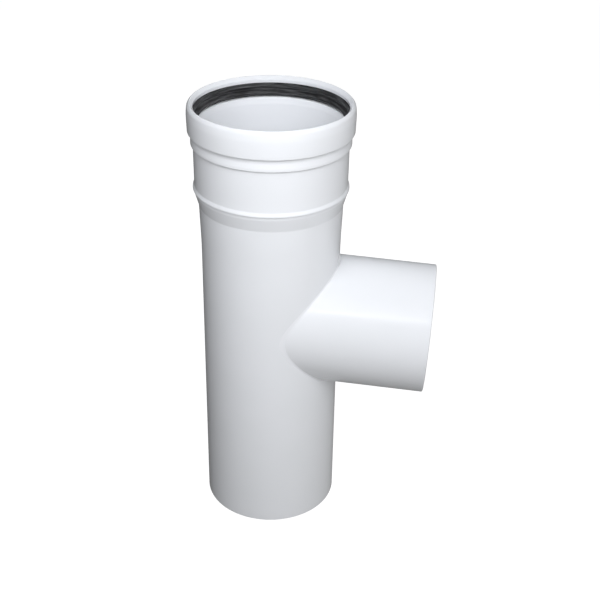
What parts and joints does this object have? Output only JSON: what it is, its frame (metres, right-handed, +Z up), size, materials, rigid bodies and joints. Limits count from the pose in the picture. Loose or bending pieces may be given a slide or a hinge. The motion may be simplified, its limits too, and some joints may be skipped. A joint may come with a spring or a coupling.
{
  "type": "pvc pipe tee fitting",
  "caption": "Straight PVC tee with a ring-seal socket at the top, a plain spigot at the bottom and a plain side branch spigot welded on at 87.5 degrees, so that it falls slightly away from the run.",
  "frame": {"origin": "on the base plane under the middle of the bounding box; the run's axis stands 34.2 mm towards -X from it", "axes": "+Z up along the run, from the plain spigot to the ring-seal socket; +X along the branch, away from the run, with the branch falling 2.5 degrees; +Y to the side"},
  "size_m": [0.196, 0.1276, 0.356],
  "materials": {
    "pvc_white": "glossy moulded and extruded white PVC-U",
    "pvc_weld": "white welding bead, slightly duller than the pipe",
    "seal_rubber": "black satin rubber"
  },
  "bodies": {
    "root": {"run_pipe": "pvc_white", "branch_spigot": "pvc_white", "branch_weld": "pvc_weld", "ring_seal": "seal_rubber"}
  },
  "joints": []
}
